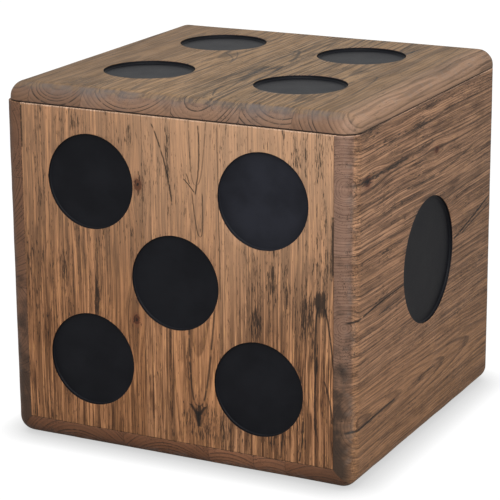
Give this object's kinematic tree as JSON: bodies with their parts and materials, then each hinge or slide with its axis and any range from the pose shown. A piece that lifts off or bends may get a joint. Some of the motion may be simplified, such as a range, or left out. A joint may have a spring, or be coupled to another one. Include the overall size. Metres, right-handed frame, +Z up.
{
  "type": "storage box",
  "caption": "Cube-shaped wooden storage box in the form of a die, with a hinged lid, round black pip recesses, rounded edges and a slotted lid stay.",
  "frame": {"origin": "on the floor, under the middle of the bounding box, which includes the hinge barrels at the back", "axes": "+Z up, +Y from the front panel to the hinges, +X to the side with the single pip"},
  "size_m": [0.4, 0.3948, 0.386],
  "materials": {
    "lid_wood": "waxed, antiqued brown",
    "side_wood": "waxed, antiqued dark brown, pips painted satin black",
    "panel_wood": "waxed, antiqued tan brown, pips painted satin black",
    "inner_wood": "planed, unfinished",
    "hinge_brass": "antiqued",
    "zinc_steel": "zinc plated"
  },
  "bodies": {
    "carcass": {"back_panel": "panel_wood", "bottom_board": "side_wood", "corner_cleat_front_left": "inner_wood", "corner_cleat_front_right": "inner_wood", "corner_cleat_rear_left": "inner_wood", "corner_cleat_rear_right": "inner_wood", "front_panel": "panel_wood", "hinge_left_body_leaf": "hinge_brass", "hinge_left_body_leaf_screw_1": "hinge_brass", "hinge_left_body_leaf_screw_2": "hinge_brass", "hinge_left_pin": "hinge_brass", "hinge_right_body_leaf": "hinge_brass", "hinge_right_body_leaf_screw_1": "hinge_brass", "hinge_right_body_leaf_screw_2": "hinge_brass", "hinge_right_pin": "hinge_brass", "left_side_panel": "side_wood", "right_side_panel": "side_wood", "stay_stud": "zinc_steel", "stay_wall_plate": "zinc_steel", "stay_wall_plate_screw_1": "zinc_steel", "stay_wall_plate_screw_2": "zinc_steel"},
    "lid": {"batten_screw_front_1": "zinc_steel", "batten_screw_front_2": "zinc_steel", "batten_screw_front_3": "zinc_steel", "batten_screw_rear_1": "zinc_steel", "batten_screw_rear_2": "zinc_steel", "batten_screw_rear_3": "zinc_steel", "hinge_left_lid_leaf": "hinge_brass", "hinge_left_lid_leaf_screw_1": "hinge_brass", "hinge_left_lid_leaf_screw_2": "hinge_brass", "hinge_right_lid_leaf": "hinge_brass", "hinge_right_lid_leaf_screw_1": "hinge_brass", "hinge_right_lid_leaf_screw_2": "hinge_brass", "lid_batten_front": "inner_wood", "lid_batten_rear": "inner_wood", "lid_panel": "lid_wood", "stay_lid_bracket": "zinc_steel", "stay_lid_bracket_screw_1": "zinc_steel", "stay_lid_bracket_screw_2": "zinc_steel", "stay_pivot_rivet": "zinc_steel"},
    "stay_arm": {"stay_arm": "zinc_steel"}
  },
  "joints": [
    {"name": "lid_hinge", "type": "hinge", "parent": "carcass", "child": "lid", "pos_m": [0, 0.1942, 0.3657], "axis": [-1, 0, 0], "range_deg": [0, 95]},
    {"name": "stay_pivot", "type": "hinge", "parent": "lid", "child": "stay_arm", "pos_m": [0.1745, 0.0598, 0.353], "axis": [1, 0, 0], "range_deg": [0, 47.5]}
  ],
  "couplings": [
    {"joint": "stay_pivot", "follows": "lid_hinge", "ratio": 0.5}
  ]
}
